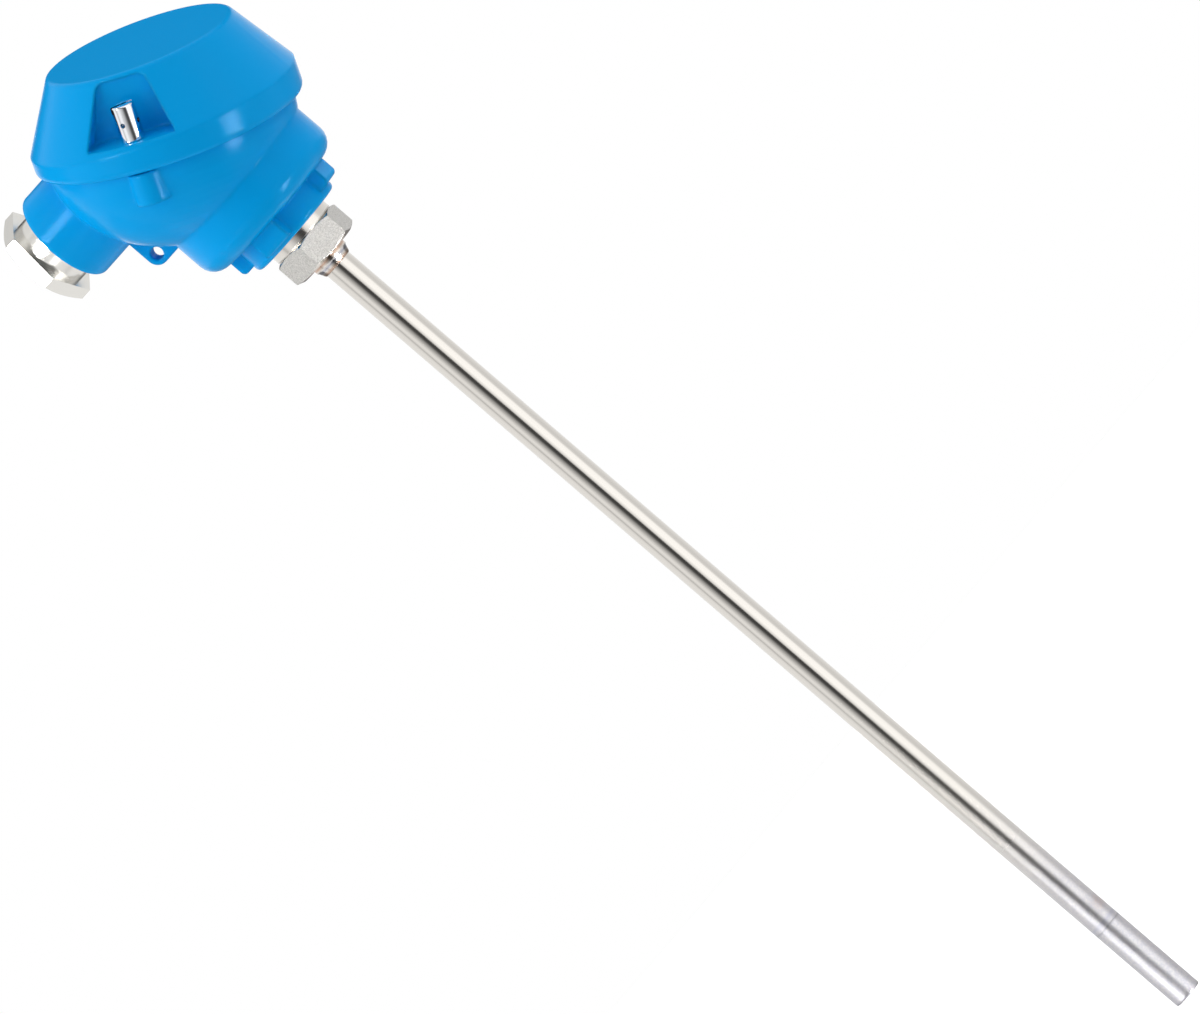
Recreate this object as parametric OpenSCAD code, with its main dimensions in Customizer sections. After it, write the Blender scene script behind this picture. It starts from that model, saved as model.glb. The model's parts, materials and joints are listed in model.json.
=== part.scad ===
// Resistance thermometer with a connection head.
// A cast head with a sloping hinged lid screws onto a welded neck fitting, which carries a
// straight stem with a welded tip. +Z runs up the stem into the head. The origin is on the
// stem's axis, where the straight stem leaves the weld under the neck fitting. The cable
// entry faces -X, the lid's screw faces -Y and the lid's hinge is on the +Y side.

/* [Stem] */
// Outside diameter of the stem
stem_d = 9.5; // [8.6:0.1:10.6]
// Wall of the stem tube
stem_wall = 1; // [0.8:0.05:1.1]
// Length of the stem below the neck fitting
stem_l = 326; // [200:1:500]
// Length of the welded tip
tip_l = 31.3; // [29:0.1:45]
// Thickness of the tip's closed end
tip_floor = 3; // [2:0.1:4]
// Rounding of the tip's outer edge
tip_edge = 0.7; // [0.3:0.1:1]
// Depth of the groove left at the tip's weld
weld_groove = 0.15; // [0.05:0.05:0.3]

/* [Neck fitting] */
// Size across the flats of the neck hexagon
hex_af = 22; // [20:0.5:24]
// Turn of the neck hexagon about the stem
hex_turn = 35.5; // [0:0.5:60]
// Height of the neck hexagon
hex_h = 9.2; // [7:0.1:12]
// Diameter of the collar under the hexagon
collar_d = 12.5; // [12:0.1:14]
// Height of the collar
collar_h = 1.6; // [1:0.1:3]
// Height of the weld fillet under the collar
weld_h = 2.3; // [1.5:0.1:4]
// Diameter of the thread that holds the head
neck_thread_d = 24; // [23.4:0.1:24.6]
// Diameter of the relief between the thread and the hexagon
neck_relief_d = 22.4; // [21:0.1:23]
// Height of the relief that shows between the hexagon and the head
neck_gap = 2.5; // [1.5:0.1:4]
// Radial clearance of a modelled thread in its hole
thread_clear = 0.05; // [0.02:0.01:0.1]

/* [Head base] */
// Diameter of the hub that takes the neck fitting
hub_d = 33; // [31:0.5:35]
// Height of the hub under the base
hub_h = 8.1; // [7:0.1:10]
// Reach of the hub's lugs from the axis
lug_reach = 19.8; // [19:0.1:21]
// Width of each lug
lug_w = 10.2; // [8:0.1:12]
// Height of each lug
lug_h = 5.8; // [4:0.1:6.5]
// Extra height of the lug on the lid screw's side
front_lug_extra = 1; // [0:0.1:1.4]
// Number of lugs
lugs = 4; // [2:1:6]
// Diameter of the base cylinder
base_d = 53.4; // [52:0.2:55]
// Rounding of the base's lower edge
base_edge = 6; // [4:0.2:7]
// Thickness of the casting's floor
floor_t = 4.3; // [3.6:0.1:5]
// Wall of the base and the bowl
wall = 3.3; // [2.8:0.1:3.6]

/* [Bowl and lid] */
// Slope of the lid from the horizontal
lid_tilt = 31.5; // [28:0.5:34]
// Distance of the lid's centre from the stem's axis, towards the cable entry
lid_back = 2.5; // [1.5:0.1:3.5]
// Height of the lid's lower edge at its centre, above the base's underside
lid_rise = 38.3; // [37:0.1:40]
// Radius of the bowl where it meets the lid
bowl_r = 37.7; // [37.4:0.1:38]
// Depth of the bowl below the lid's lower edge
bowl_depth = 32.8; // [32:0.1:34]
// Height of the bowl's lip inside the lid
lip_h = 4; // [3:0.1:4.5]
// Mean height of the lid's band
band_h = 7.5; // [6.5:0.1:8.5]
// Height of the whole lid
lid_h = 27.6; // [26:0.1:30]
// Slope of the lid's crown from its own axis
crown_angle = 31.5; // [29:0.5:33]
// Lean of the crown against the lid's lower edge, towards the cable entry
crown_lean = 1.75; // [0:0.25:2.5]
// Wall of the lid
lid_wall = 2.8; // [2.4:0.1:2.9]
// Clearance between the bowl's lip and the lid's skirt
lip_clear = 0.5; // [0.45:0.05:0.6]
// Thickness of the gasket
gasket_t = 2; // [1.5:0.1:2.4]
// Gap between the gasket and the lip
seal_gap = 0.1; // [0.05:0.05:0.2]

/* [Lid screw and its pocket] */
// Distance of the lid screw from the bowl's outer wall
screw_in = 3.3; // [3.1:0.1:3.7]
// Diameter of the screw's head
screw_head_d = 7.2; // [6:0.1:8]
// Height of the screw's head
screw_head_h = 11.2; // [8:0.1:13]
// Diameter of the screw's thread
screw_thread_d = 4; // [3.6:0.1:4.2]
// Diameter of the screw's neck in the lid
screw_neck_d = 3.4; // [3:0.1:3.5]
// Diameter of the seal wire holes in the head
seal_wire_d = 1.5; // [1:0.1:2]
// Half the width of the pocket at its floor
pocket_half = 13.9; // [12:0.1:15]
// Half the width of the pocket at its top
pocket_top_half = 7.2; // [6:0.1:9]
// Height of the pocket's floor above the lid's lower edge
pocket_floor = 9; // [8.5:0.1:9.5]
// Height of the pocket
pocket_h = 17.4; // [16:0.1:17.6]
// Distance of the pocket's back wall from the lid screw's axis
pocket_depth = 6.4; // [5.8:0.1:7]

/* [Hinge] */
// Distance of the hinge pin outside the lid's rim
hinge_out = 4.6; // [4.2:0.1:5.5]
// Height of the hinge pin above the lid's lower edge
hinge_h = 2; // [1:0.1:2.4]
// Diameter of the hinge pin
pin_d = 4; // [3:0.1:4.4]
// Diameter of the hinge knuckles
knuckle_d = 8.2; // [7.4:0.1:8.4]
// Width of the lid's knuckle
knuckle_w = 17.4; // [14:0.2:20]
// Width of each ear on the bowl
ear_w = 5; // [4:0.1:6]
// Side gap between the knuckle and each ear
knuckle_gap = 0.3; // [0.2:0.05:0.5]
// Radial clearance of the pin in the lid's knuckle
pin_clear = 0.06; // [0.03:0.01:0.1]

/* [Cable entry] */
// Height of the cable entry's axis above the base's underside
entry_rise = 41; // [40.6:0.1:41.4]
// Diameter of the cable entry boss
entry_d = 31.6; // [30:0.2:32]
// Distance of the entry's mouth from the stem's axis
entry_reach = 49.6; // [47:0.1:54]
// Diameter of the entry's thread
entry_thread_d = 20; // [18:0.1:20.5]
// Diameter of the plug's collar
plug_collar_d = 23.8; // [23:0.1:25]
// Length of the collar that shows between the boss and the hexagon
plug_gap = 6; // [3:0.1:8]
// Size across the flats of the plug's hexagon
plug_af = 28; // [26:0.5:30]
// Turn of the plug's hexagon about its axis
plug_turn = 12; // [0:1:60]
// Thickness of the plug's hexagon
plug_hex_h = 4.7; // [4:0.1:7]
// Depth of the seat for the plug's collar
seat_depth = 3.4; // [3:0.1:5]
// Thickness of the plug's seal
plug_seal_t = 1.6; // [1:0.1:2]

/* [Seal eye] */
// Distance of the eye's outer edge from the stem's axis
eye_reach = 37.2; // [36:0.1:40]
// Depth of the eye below the cable entry's axis
eye_drop = 26.9; // [26:0.1:28]
// Diameter of the eye's hole
eye_hole_d = 4; // [3:0.1:4.6]
// Distance of the eye's hole from its two free edges
eye_hole_in = 3.6; // [3.4:0.1:4]
// Thickness of the eye
eye_t = 4.5; // [3:0.1:6]

/* [Terminal block] */
// Gap between the ceramic block and the bowl's wall
block_gap = 2.4; // [1.8:0.1:3.4]
// Thickness of the block
block_t = 6; // [5:0.1:7]
// Height of the seats under the block
seat_h = 3; // [2:0.1:4]
// Distance of the block's two screws from its edge
block_screw_in = 4.5; // [4.4:0.1:5.5]
// Diameter of the block's screws
block_screw_d = 4; // [3.5:0.1:4.2]
// Diameter of the hole that the leads pass through
lead_hole_d = 7.6; // [7:0.1:8]
// Distance of each terminal from the block's edge
terminal_in = 8; // [7.4:0.1:8.5]
// Angle of the terminals from the X axis
terminal_angle = 30; // [28:1:34]
// Width of each terminal pillar
pillar_w = 5.4; // [5:0.1:6]
// Height of each terminal pillar
pillar_h = 8; // [7:0.1:9]
// Diameter of the terminal screws
terminal_screw_d = 3; // [2.6:0.1:3.2]

/* [Leads and element] */
// Diameter of each lead
lead_d = 1.1; // [0.8:0.05:1.2]
// Distance of each lead from the stem's axis
lead_off = 1.9; // [1.7:0.05:2]
// Diameter of the sleeves on the leads
sleeve_d = 1.7; // [1.5:0.05:1.8]
// Diameter of the ceramic beads in the stem
bead_d = 6.6; // [6:0.1:6.8]
// Number of ceramic beads
beads = 6; // [3:1:8]
// Gap between the beads
bead_gap = 0.5; // [0.3:0.1:1]
// Diameter of the sensing element
element_d = 5; // [4.6:0.1:5.4]
// Length of the sensing element
element_l = 25; // [15:1:26]

/* [Hidden] */
$fn = 96;
cut = 1;                // how far a cutter reaches past what it cuts
slip = 0.05;            // gap between pieces that slide together by hand
arc_steps = 6;          // chords in a rounded corner of a profile
bowl_steps = 20;        // chords in the bowl's quarter ellipse
crown_pivot = 14;       // height in the lid about which its crown leans

blue = "#0099dc";
steel = "#c9c9c7";
nickel = "#d6d4cd";
brass = "#c9a24a";
ceramic = "#ece6d8";

// Heights, from the origin up
collar_z = weld_h;
hex_z = collar_z + collar_h;
relief_z = hex_z + hex_h;
hub_z = relief_z + neck_gap;
base_z = hub_z + hub_h;
floor_z = base_z + floor_t;
neck_top_z = floor_z - 1;
tube_top_z = neck_top_z - 1;
block_z = floor_z + seat_h;
block_top_z = block_z + block_t;
lead_z = block_top_z + pillar_h / 2;
lid_z = base_z + lid_rise;
entry_z = base_z + entry_rise;

// Heights, from the origin down
stem_end_z = -stem_l;
weld_z = stem_end_z + tip_l;
element_z = stem_end_z + tip_floor + slip;
element_top_z = element_z + element_l;

stem_bore_d = stem_d - 2 * stem_wall;
spigot_d = stem_d - 0.6; // the tube is turned down where it enters the neck fitting
cavity_r = base_d / 2 - wall;
skirt_r = bowl_r + lip_clear;
lid_r = skirt_r + lid_wall;
screw_r = bowl_r - screw_in;
hinge_r = lid_r + hinge_out;
pocket_back = screw_r - pocket_depth;
top_r = lid_r - (lid_h - band_h) * tan(crown_angle);
block_d = 2 * (cavity_r - block_gap);
block_pitch = block_d - 2 * block_screw_in;
terminal_r = block_d / 2 - terminal_in;
ledge_z = lip_h + seal_gap + gasket_t;
screw_hole_d = screw_neck_d + 0.14;
seal_wire_turn = 12;
screw_reach = 9;        // how far the screw reaches below the pocket's floor, under the ledge
receiver_d = screw_thread_d + 1.3;
receiver_boss_d = receiver_d + 5.8;
receiver_l = 14;
receiver_over = 2;      // how far the cut of the receiver's hole runs past the lip
plug_mouth_x = -entry_reach - plug_gap;
lead_bend_r = 2.4;
earth_depth = 20;       // depth of the earth screw below the lid's lower edge
earth_out = 1.2;        // how much further out the sloping bowl's wall lies at the earth screw
earth_angle = 210.8;
earth_r = bowl_in_r(earth_depth) + earth_out;
earth_x = earth_r * cos(earth_angle);
earth_y = earth_r * sin(earth_angle);
earth_z = floor_z + 22;
earth_boss_d = 8;
earth_screw_d = 4;
screw_grip = 5;         // how far a block or earth screw goes into the casting
drill_point = 1;        // how far a screw hole runs past its screw
earth_seat_h = 5;       // height of the seat milled in the bowl's wall over the earth boss
earth_seat_clear = 0.2; // clearance of that seat round the washer
washer_t = 0.8;
washer_seat = 1.5;      // depth of the seat of a block screw's washer
block_head_z = block_top_z - washer_seat + washer_t;
seal_l = 6;             // length of the resin plug at the top of the stem

part_gap = 0.3;         // gap between the lid's lower edge and what the housing has under it
ear_root_r = bowl_r - 2 * wall;
ear_step = 0.4;         // how far the ear's corners lie inside the knuckle
ear_top = -0.6;         // heights of the ear's corners above the lid's lower edge
ear_waist = -7.5;
ear_foot = -15;

// Radius inside the bowl at a depth below the lid's lower edge
function bowl_in_r(depth) = (bowl_r - wall) * sqrt(1 - pow(depth / (bowl_depth - wall), 2));

function unit(v) = v / norm(v);

// The arc that rounds corner b, which lies between a and c
function corner_arc(a, b, c, r) =
    let (u = unit(a - b), w = unit(c - b), half = acos(u * w) / 2,
        middle = b + unit(u + w) * r / sin(half), first = b + u * r / tan(half) - middle,
        side = cross(u, w) > 0 ? -1 : 1, turn = side * (180 - 2 * half) / arc_steps)
    [for (i = [0:arc_steps]) middle + [first.x * cos(i * turn) - first.y * sin(i * turn),
        first.x * sin(i * turn) + first.y * cos(i * turn)]];

// An outline of [x, y, radius] corners, each rounded to its radius
function rounded(c) =
    [for (i = [0:len(c) - 1])
        let (a = c[(i + len(c) - 1) % len(c)], b = c[i], d = c[(i + 1) % len(c)])
        each (b.z == 0 ? [[b.x, b.y]]
            : corner_arc([a.x, a.y], [b.x, b.y], [d.x, d.y], b.z))];

// A quarter ellipse from the rim down to the axis
function quarter_ellipse(r, depth) =
    [for (i = [0:bowl_steps]) [r * cos(90 * i / bowl_steps), -depth * sin(90 * i / bowl_steps)]];

module at_lid() {
    translate([-lid_back, 0, lid_z])
        rotate([0, lid_tilt, 0])
            children();
}

module at_entry(x) {
    translate([x, 0, entry_z])
        rotate([0, -90, 0])
            children();
}

module at_screw() {
    at_lid()
        translate([0, -screw_r, 0])
            children();
}

module at_pin() {
    at_lid()
        translate([0, hinge_r, hinge_h])
            rotate([0, 90, 0])
                children();
}

module at_block_screws() {
    for (side = [-1, 1])
        translate([0, side * block_pitch / 2, 0])
            children();
}

module at_terminal(i) {
    rotate(i * 90 + (i % 2 == 0 ? terminal_angle : 90 - terminal_angle))
        children();
}

module ring(outer_d, inner_d, h) {
    difference() {
        cylinder(h = h, d = outer_d);
        translate([0, 0, -cut])
            cylinder(h = h + 2 * cut, d = inner_d);
    }
}

// A hexagon whose ends are turned to a chamfer
module chamfered_hex(af, h, foot, head) {
    across = af / cos(30);
    rim = across / 2 + slip;
    intersection() {
        cylinder(h = h, d = across, $fn = 6);
        rotate_extrude()
            polygon([[0, 0], [foot > 0 ? af / 2 - foot / 2 : rim, 0], [rim, foot],
                [rim, h - head], [af / 2 - head / 2, h], [0, h]]);
    }
}

// The bowl turned about the lid's axis: a quarter ellipse with a straight lip above it
module bowl_solid(r, depth, lip) {
    at_lid()
        rotate_extrude()
            polygon([[0, lip], [r, lip], each quarter_ellipse(r, depth)]);
}

module lip_solid(r, h) {
    at_lid()
        translate([0, 0, -cut])
            cylinder(h = h + cut, r = r);
}

// Everything under a plane at height h over the lid's lower edge
module under_lid(h) {
    size = 4 * lid_r;
    at_lid()
        translate([-size / 2, -size / 2, h - size])
            cube(size);
}

module base_solid() {
    translate([0, 0, base_z])
        rotate_extrude()
            polygon(rounded([[0, 0, 0], [base_d / 2, 0, base_edge],
                [base_d / 2, lid_rise / 2, 0], [0, lid_rise / 2, 0]]));
}

module hub_solid() {
    edge = 1.5;
    translate([0, 0, hub_z])
        rotate_extrude()
            polygon(rounded([[0, 0, 0], [hub_d / 2, 0, edge], [hub_d / 2, hub_h + cut, 0],
                [0, hub_h + cut, 0]]));
}

module lug(h) {
    edge = 1.6;
    translate([0, lug_w / 2, base_z - h])
        rotate([90, 0, 0])
            linear_extrude(lug_w)
                polygon(rounded([[hub_d / 4, 0, 0], [lug_reach, 0, edge],
                    [lug_reach, h + cut, 0], [hub_d / 4, h + cut, 0]]));
}

module entry_boss() {
    edge = 1.2;
    at_entry(0)
        rotate_extrude()
            polygon(rounded([[0, 0, 0], [entry_d / 2, 0, 0], [entry_d / 2, entry_reach, edge],
                [0, entry_reach, 0]]));
}

module seal_eye() {
    corner = 3.6;
    inner = base_d / 2 - wall / 2;
    translate([0, eye_t / 2, entry_z])
        rotate([90, 0, 0])
            linear_extrude(eye_t)
                polygon(rounded([[-inner, -entry_d / 2 + cut, 0], [-eye_reach, -entry_d / 2 + cut, 0],
                    [-eye_reach, -eye_drop, corner], [-inner, -eye_drop, 0]]));
}

module receiver_boss() {
    at_screw()
        translate([0, 0, lip_h - receiver_l])
            cylinder(h = receiver_l, d = receiver_boss_d);
}

// One ear of the hinge, as a plate across the pin that grows out of the bowl's wall
module ear(x) {
    at_lid()
        translate([x, 0, 0])
            rotate([90, 0, 90])
                linear_extrude(ear_w) {
                    translate([hinge_r, hinge_h])
                        circle(d = knuckle_d);
                    polygon([[ear_root_r, ear_top], [hinge_r - knuckle_d / 2 + ear_step, ear_top],
                        [hinge_r + knuckle_d / 2, hinge_h], [hinge_r - ear_step, ear_waist],
                        [ear_root_r, ear_foot]]);
                }
}

module housing() color(blue) {
    ear_x = knuckle_w / 2 + knuckle_gap;
    difference() {
        union() {
            difference() {
                union() {
                    bowl_solid(bowl_r, bowl_depth, lip_h);
                    base_solid();
                    hub_solid();
                    for (i = [1:lugs])
                        rotate(i * 360 / lugs - 90)
                            lug(lug_h + (i == lugs ? front_lug_extra : 0));
                    intersection() {
                        entry_boss();
                        under_lid(-part_gap);
                    }
                    seal_eye();
                    ear(ear_x);
                    ear(-ear_x - ear_w);
                }
                bowl_solid(bowl_r - wall, bowl_depth - wall, lip_h + cut);
                translate([0, 0, floor_z])
                    cylinder(h = lid_rise / 2, r = cavity_r);
            }
            intersection() {
                receiver_boss();
                union() {
                    under_lid(-part_gap);
                    lip_solid(bowl_r - slip, lip_h);
                }
            }
            intersection() {
                translate([earth_x, earth_y, floor_z])
                    cylinder(h = earth_z - floor_z, d = earth_boss_d);
                bowl_solid(bowl_r - wall / 2, bowl_depth - wall / 2, 0);
            }
            at_block_screws()
                translate([0, 0, floor_z - cut])
                    cylinder(h = seat_h + cut, d = 2 * block_screw_d);
        }
        translate([0, 0, hub_z - cut])
            cylinder(h = floor_z - hub_z + 2 * cut, d = neck_thread_d);
        at_entry(0)
            cylinder(h = entry_reach + cut, d = entry_thread_d);
        at_entry(-entry_reach + seat_depth)
            cylinder(h = seat_depth + cut, d = plug_collar_d + 2 * slip);
        at_screw()
            translate([0, 0, lip_h - receiver_l + receiver_over])
                cylinder(h = receiver_l, d = receiver_d);
        at_pin()
            cylinder(h = 4 * knuckle_w, d = pin_d + 2 * slip, center = true);
        translate([-eye_reach + eye_hole_in, 0, entry_z - eye_drop + eye_hole_in])
            rotate([90, 0, 0])
                cylinder(h = 2 * eye_t, d = eye_hole_d, center = true);
        translate([earth_x, earth_y, earth_z - screw_grip - drill_point])
            cylinder(h = screw_grip + drill_point + cut, d = earth_screw_d);
        translate([earth_x, earth_y, earth_z])
            cylinder(h = earth_seat_h, r = earth_screw_d + earth_seat_clear);
        at_block_screws()
            translate([0, 0, block_z - screw_grip - drill_point])
                cylinder(h = screw_grip + drill_point + cut, d = block_screw_d);
    }
}

// The crown's leaning cone with a flat top, inset by a wall, in the lid's own frame
module crown(inset, edge) {
    top = lid_h - inset;
    side = inset / cos(crown_angle);
    foot = -lid_wall;
    translate([0, 0, crown_pivot])
        rotate([0, -crown_lean, 0])
            translate([0, 0, -crown_pivot])
                rotate_extrude()
                    polygon(rounded([[0, foot, 0],
                        [top_r - side + (lid_h - foot) * tan(crown_angle), foot, 0],
                        [top_r - side + inset * tan(crown_angle), top, edge], [0, top, 0]]));
}

module lid_outside() {
    intersection() {
        rotate_extrude()
            polygon(rounded([[0, 0, 0], [lid_r, 0, 2], [lid_r, 2 * lid_h, 0], [0, 2 * lid_h, 0]]));
        crown(0, 1.6);
    }
}

module lid_hollow() {
    ledge_r = bowl_r - wall - seal_gap;
    translate([0, 0, -cut])
        cylinder(h = ledge_z + cut, r = skirt_r);
    intersection() {
        translate([0, 0, -cut])
            cylinder(h = lid_h, r = ledge_r);
        crown(lid_wall, 0);
    }
}

// The pocket's outline seen from the front, grown by a margin
module pocket_outline(margin) {
    corner = 3.4;
    low = pocket_floor - margin;
    high = pocket_floor + pocket_h + margin;
    polygon(rounded([[-pocket_half - margin, low, 0.4], [pocket_half + margin, low, 0.4],
        [pocket_top_half + margin, high, corner], [-pocket_top_half - margin, high, corner]]));
}

module pocket(margin, back) {
    translate([0, -back, 0])
        rotate([90, 0, 0])
            linear_extrude(lid_r)
                pocket_outline(margin);
}

module lid() color(blue) {
    floor_margin = pocket_floor - ledge_z;
    difference() {
        at_lid()
            difference() {
                lid_outside();
                difference() {
                    lid_hollow();
                    pocket(floor_margin, pocket_back - lid_wall);
                }
                pocket(0, pocket_back);
                translate([0, 0, -cut])
                    cylinder(h = cut + ledge_z, r = skirt_r);
            }
        at_screw()
            cylinder(h = lid_h, d = screw_hole_d);
    }
    knuckle();
}

module knuckle() {
    root = 1;  // how far the knuckle grows out of the lid's wall
    foot = 0.4;
    at_lid()
        difference() {
            translate([-knuckle_w / 2, 0, 0])
                rotate([90, 0, 90])
                    linear_extrude(knuckle_w) {
                        translate([hinge_r, hinge_h])
                            circle(d = knuckle_d);
                        polygon([[skirt_r + root, foot], [hinge_r, foot],
                            [hinge_r, hinge_h + knuckle_d / 2],
                            [lid_r - root, band_h - root], [skirt_r + root, band_h - root]]);
                    }
            translate([0, hinge_r, hinge_h])
                rotate([0, 90, 0])
                    cylinder(h = 2 * knuckle_w, d = pin_d + 2 * pin_clear, center = true);
        }
}

// A flat gasket with an eye round the lid screw
module lid_gasket() color("#2b2b2b") {
    at_lid()
        translate([0, 0, lip_h + seal_gap])
            difference() {
                cylinder(h = gasket_t, r = bowl_r);
                difference() {
                    translate([0, 0, -cut])
                        cylinder(h = gasket_t + 2 * cut, r = bowl_r - wall);
                    translate([0, -screw_r, -2 * cut])
                        cylinder(h = gasket_t + 4 * cut, d = receiver_boss_d);
                }
                translate([0, -screw_r, -cut])
                    cylinder(h = gasket_t + 2 * cut, d = screw_thread_d + 1);
            }
}

module hinge_pin() color(steel) {
    pin_l = knuckle_w + 2 * (knuckle_gap + ear_w) + 1;
    at_pin()
        cylinder(h = pin_l, d = pin_d, center = true);
}

module lid_screw() color("#dcdcde") {
    neck_end = ledge_z - 0.4;
    point_z = ledge_z - screw_reach;
    point = 0.6;
    difference() {
        at_screw()
            rotate_extrude()
                polygon(rounded([[0, point_z, 0], [screw_thread_d / 2 - point, point_z, 0],
                    [screw_thread_d / 2, point_z + point, 0],
                    [screw_thread_d / 2, neck_end, 0], [screw_neck_d / 2, neck_end, 0],
                    [screw_neck_d / 2, pocket_floor + slip, 0],
                    [screw_head_d / 2, pocket_floor + slip, 0.3],
                    [screw_head_d / 2, pocket_floor + screw_head_h, 0.5],
                    [0, pocket_floor + screw_head_h, 0]]));
        at_screw()
            translate([0, 0, pocket_floor + screw_head_h / 2])
                for (turn = [0, 90])
                    rotate([90, 0, turn - seal_wire_turn])
                        cylinder(h = 2 * screw_head_d, d = seal_wire_d, center = true, $fn = 32);
        at_screw()
            rotate(35)
                translate([-screw_head_d, -0.6, pocket_floor + screw_head_h - 2])
                    cube([2 * screw_head_d, 1.2, 2 + cut]);
    }
}

module entry_plug() color(nickel) {
    collar_end = -entry_reach + seat_depth - plug_seal_t - slip;
    thread_l = 9;
    at_entry(collar_end)
        cylinder(h = collar_end - plug_mouth_x, d = plug_collar_d);
    at_entry(plug_mouth_x)
        rotate(plug_turn)
            chamfered_hex(plug_af, plug_hex_h, 0, 1.1);
    at_entry(collar_end + thread_l)
        cylinder(h = thread_l + slip, d = entry_thread_d - 2 * thread_clear);
}

module plug_seal() color("#7a2f22") {
    at_entry(-entry_reach + seat_depth)
        ring(plug_collar_d, entry_thread_d + 2 * slip, plug_seal_t);
}

module neck_fitting() color(steel) {
    thread_z = hub_z + 1;
    difference() {
        union() {
            translate([0, 0, hex_z])
                rotate(hex_turn)
                    chamfered_hex(hex_af, hex_h, 1.2, 1.2);
            rotate_extrude()
                polygon([[0, 0], [stem_d / 2 + 0.15, 0], [stem_d / 2 + 0.5, 0.5],
                    [collar_d / 2 - 0.35, collar_z - 0.2], [collar_d / 2, collar_z + 0.15],
                    [collar_d / 2, hex_z + slip], [0, hex_z + slip]]);
            translate([0, 0, relief_z - slip])
                cylinder(h = thread_z - relief_z + 2 * slip, d = neck_relief_d);
            translate([0, 0, thread_z])
                cylinder(h = neck_top_z - thread_z, d = neck_thread_d - 2 * thread_clear);
        }
        translate([0, 0, -cut])
            cylinder(h = neck_top_z + 2 * cut, d = spigot_d + 2 * slip);
    }
}

module stem_tube() color(steel) {
    rotate_extrude()
        polygon([[stem_bore_d / 2, weld_z], [stem_d / 2 - weld_groove, weld_z],
            [stem_d / 2, weld_z + weld_groove], [stem_d / 2, 0], [spigot_d / 2, 0],
            [spigot_d / 2, tube_top_z], [stem_bore_d / 2, tube_top_z]]);
}

module tip() color(steel) {
    rotate_extrude()
        polygon(rounded([[0, stem_end_z, 0], [stem_d / 2, stem_end_z, tip_edge],
            [stem_d / 2, weld_z - weld_groove, 0], [stem_d / 2 - weld_groove, weld_z, 0],
            [stem_bore_d / 2, weld_z, 0], [stem_bore_d / 2, stem_end_z + tip_floor, 0],
            [0, stem_end_z + tip_floor, 0]]));
}

module terminal_block() color(ceramic) {
    ridge_t = 1.6;
    ridge_h = 4;
    difference() {
        union() {
            translate([0, 0, block_z])
                rotate_extrude()
                    polygon(rounded([[0, 0, 0], [block_d / 2, 0, 0.5],
                        [block_d / 2, block_t, 0.8], [0, block_t, 0]]));
            for (side = [-1, 1])
                translate([side > 0 ? lead_hole_d / 2 + 1 : -block_d / 2 + 1.5, -ridge_t / 2, block_z])
                    cube([block_d / 2 - lead_hole_d / 2 - 2.5, ridge_t, block_t + ridge_h]);
        }
        translate([0, 0, block_z - cut])
            cylinder(h = block_t + 2 * cut, d = lead_hole_d);
        at_block_screws() {
            translate([0, 0, block_z - cut])
                cylinder(h = block_t + 2 * cut, d = block_screw_d + 0.6);
            translate([0, 0, block_top_z - washer_seat])
                cylinder(h = washer_seat + cut, d = 2 * block_screw_d + 1.2);
        }
    }
}

// A square pillar with a cross hole for the lead and a tapped hole from above
module terminal(i) color(brass) {
    edge = 0.6;
    at_terminal(i)
        difference() {
            translate([terminal_r, 0, block_top_z])
                linear_extrude(pillar_h)
                    polygon(rounded([[-pillar_w / 2, -pillar_w / 2, edge],
                        [pillar_w / 2, -pillar_w / 2, edge], [pillar_w / 2, pillar_w / 2, edge],
                        [-pillar_w / 2, pillar_w / 2, edge]]));
            translate([0, 0, lead_z])
                rotate([0, 90, 0])
                    cylinder(h = terminal_r + pillar_w, d = lead_d + 2 * slip, $fn = 32);
            translate([terminal_r, 0, lead_z])
                cylinder(h = pillar_h, d = terminal_screw_d);
        }
}

// A slotted cheese head screw with its seat at z = 0
module slotted_screw(d, head_d, head_h, shank) {
    difference() {
        union() {
            rotate_extrude()
                polygon(rounded([[0, 0, 0], [head_d / 2, 0, 0], [head_d / 2, head_h, 0.4],
                    [0, head_h, 0]]));
            translate([0, 0, -shank])
                cylinder(h = shank + slip, d = d);
        }
        translate([-head_d, -d / 8, head_h / 2])
            cube([2 * head_d, d / 4, head_h]);
    }
}

module terminal_screws() color(nickel) {
    shank = block_top_z + pillar_h - lead_z - lead_d / 2 - slip;
    for (i = [0:3])
        at_terminal(i)
            translate([terminal_r, 0, block_top_z + pillar_h])
                rotate(25 * i)
                    slotted_screw(terminal_screw_d - 2 * thread_clear, terminal_screw_d + 1.8, 1.8,
                        shank);
}

module block_screws() color(nickel) {
    at_block_screws()
        translate([0, 0, block_head_z])
            rotate(20)
                slotted_screw(block_screw_d - 2 * thread_clear, 1.75 * block_screw_d, 2.6,
                    block_head_z - block_z + screw_grip);
}

module block_washers() color(nickel) {
    at_block_screws()
        translate([0, 0, block_top_z - washer_seat])
            ring(2.1 * block_screw_d, block_screw_d + 0.3, washer_t);
}

module earth_screw() color(nickel) {
    translate([earth_x, earth_y, earth_z + washer_t])
        slotted_screw(earth_screw_d - 2 * thread_clear, 1.7 * earth_screw_d, 2.4,
            washer_t + screw_grip);
}

module earth_washer() color(brass) {
    translate([earth_x, earth_y, earth_z])
        ring(2 * earth_screw_d, earth_screw_d + 0.3, washer_t);
}

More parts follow.
